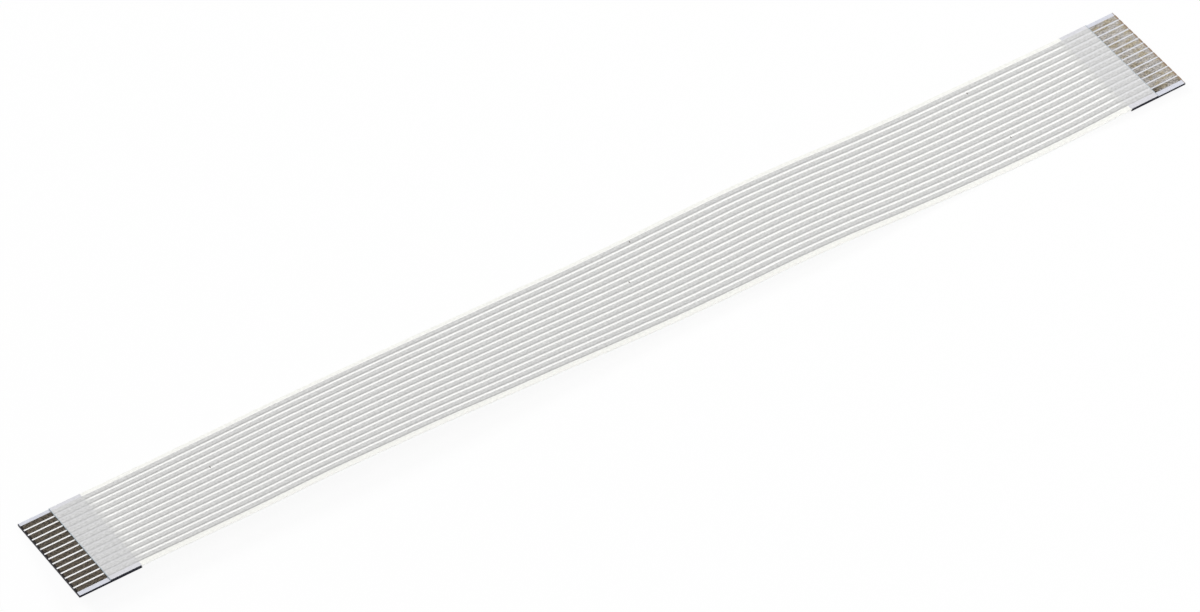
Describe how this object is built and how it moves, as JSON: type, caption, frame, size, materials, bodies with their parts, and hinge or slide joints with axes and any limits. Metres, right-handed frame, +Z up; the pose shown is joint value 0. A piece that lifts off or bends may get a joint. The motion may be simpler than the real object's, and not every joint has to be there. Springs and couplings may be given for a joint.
{
  "type": "flat flex cable",
  "caption": "Flat flex cable lying loose: flat tinned conductors side by side between white films, with bare contact fingers and a blue stiffener at each end.",
  "frame": {"origin": "centre of the cable's bounding box, on the surface that the cable lies on", "axes": "+X along the cable, from the left end to the right end; +Y across it; +Z up, out of the side with the bare contacts"},
  "size_m": [0.152, 0.015, 0.0029],
  "materials": {
    "film": "white polyester film, satin",
    "conductor": "tinned copper, dull and tarnished",
    "stiffener": "blue polyester, satin"
  },
  "bodies": {
    "root": {"upper_film": "film", "lower_film": "film", "conductor_01": "conductor", "conductor_02": "conductor", "conductor_03": "conductor", "conductor_04": "conductor", "conductor_05": "conductor", "conductor_06": "conductor", "conductor_07": "conductor", "conductor_08": "conductor", "conductor_09": "conductor", "conductor_10": "conductor", "conductor_11": "conductor", "conductor_12": "conductor", "conductor_13": "conductor", "conductor_14": "conductor", "left_stiffener": "stiffener", "right_stiffener": "stiffener"}
  },
  "joints": []
}
